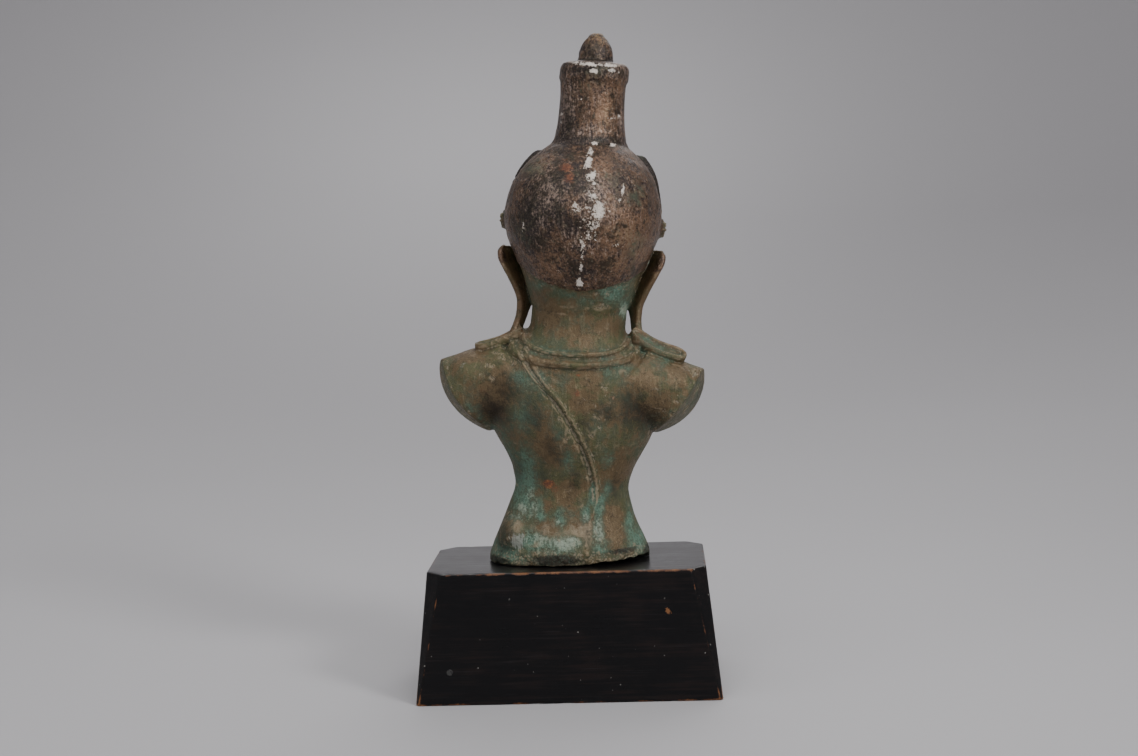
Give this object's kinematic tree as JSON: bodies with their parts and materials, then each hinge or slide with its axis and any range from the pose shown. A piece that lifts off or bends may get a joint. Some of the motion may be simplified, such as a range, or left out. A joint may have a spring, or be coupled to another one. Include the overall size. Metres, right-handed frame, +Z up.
{
  "type": "bronze buddha bust",
  "caption": "Cast bronze bust of a crowned Buddha with a tall topknot, long looped earlobes and cut arms, resting on a tapered black wooden plinth.",
  "frame": {"origin": "centre of the plinth's underside", "axes": "+Z up, the face looks along -Y, and the figure's left side is +X"},
  "size_m": [0.2118, 0.1197, 0.4579],
  "materials": {
    "bronze": "old cast bronze with a dull brown skin, green patina and traces of white",
    "black_painted_wood": "satin black paint, worn to orange-brown wood at the edges"
  },
  "bodies": {
    "root": {"bust": "bronze", "plinth": "black_painted_wood"}
  },
  "joints": []
}
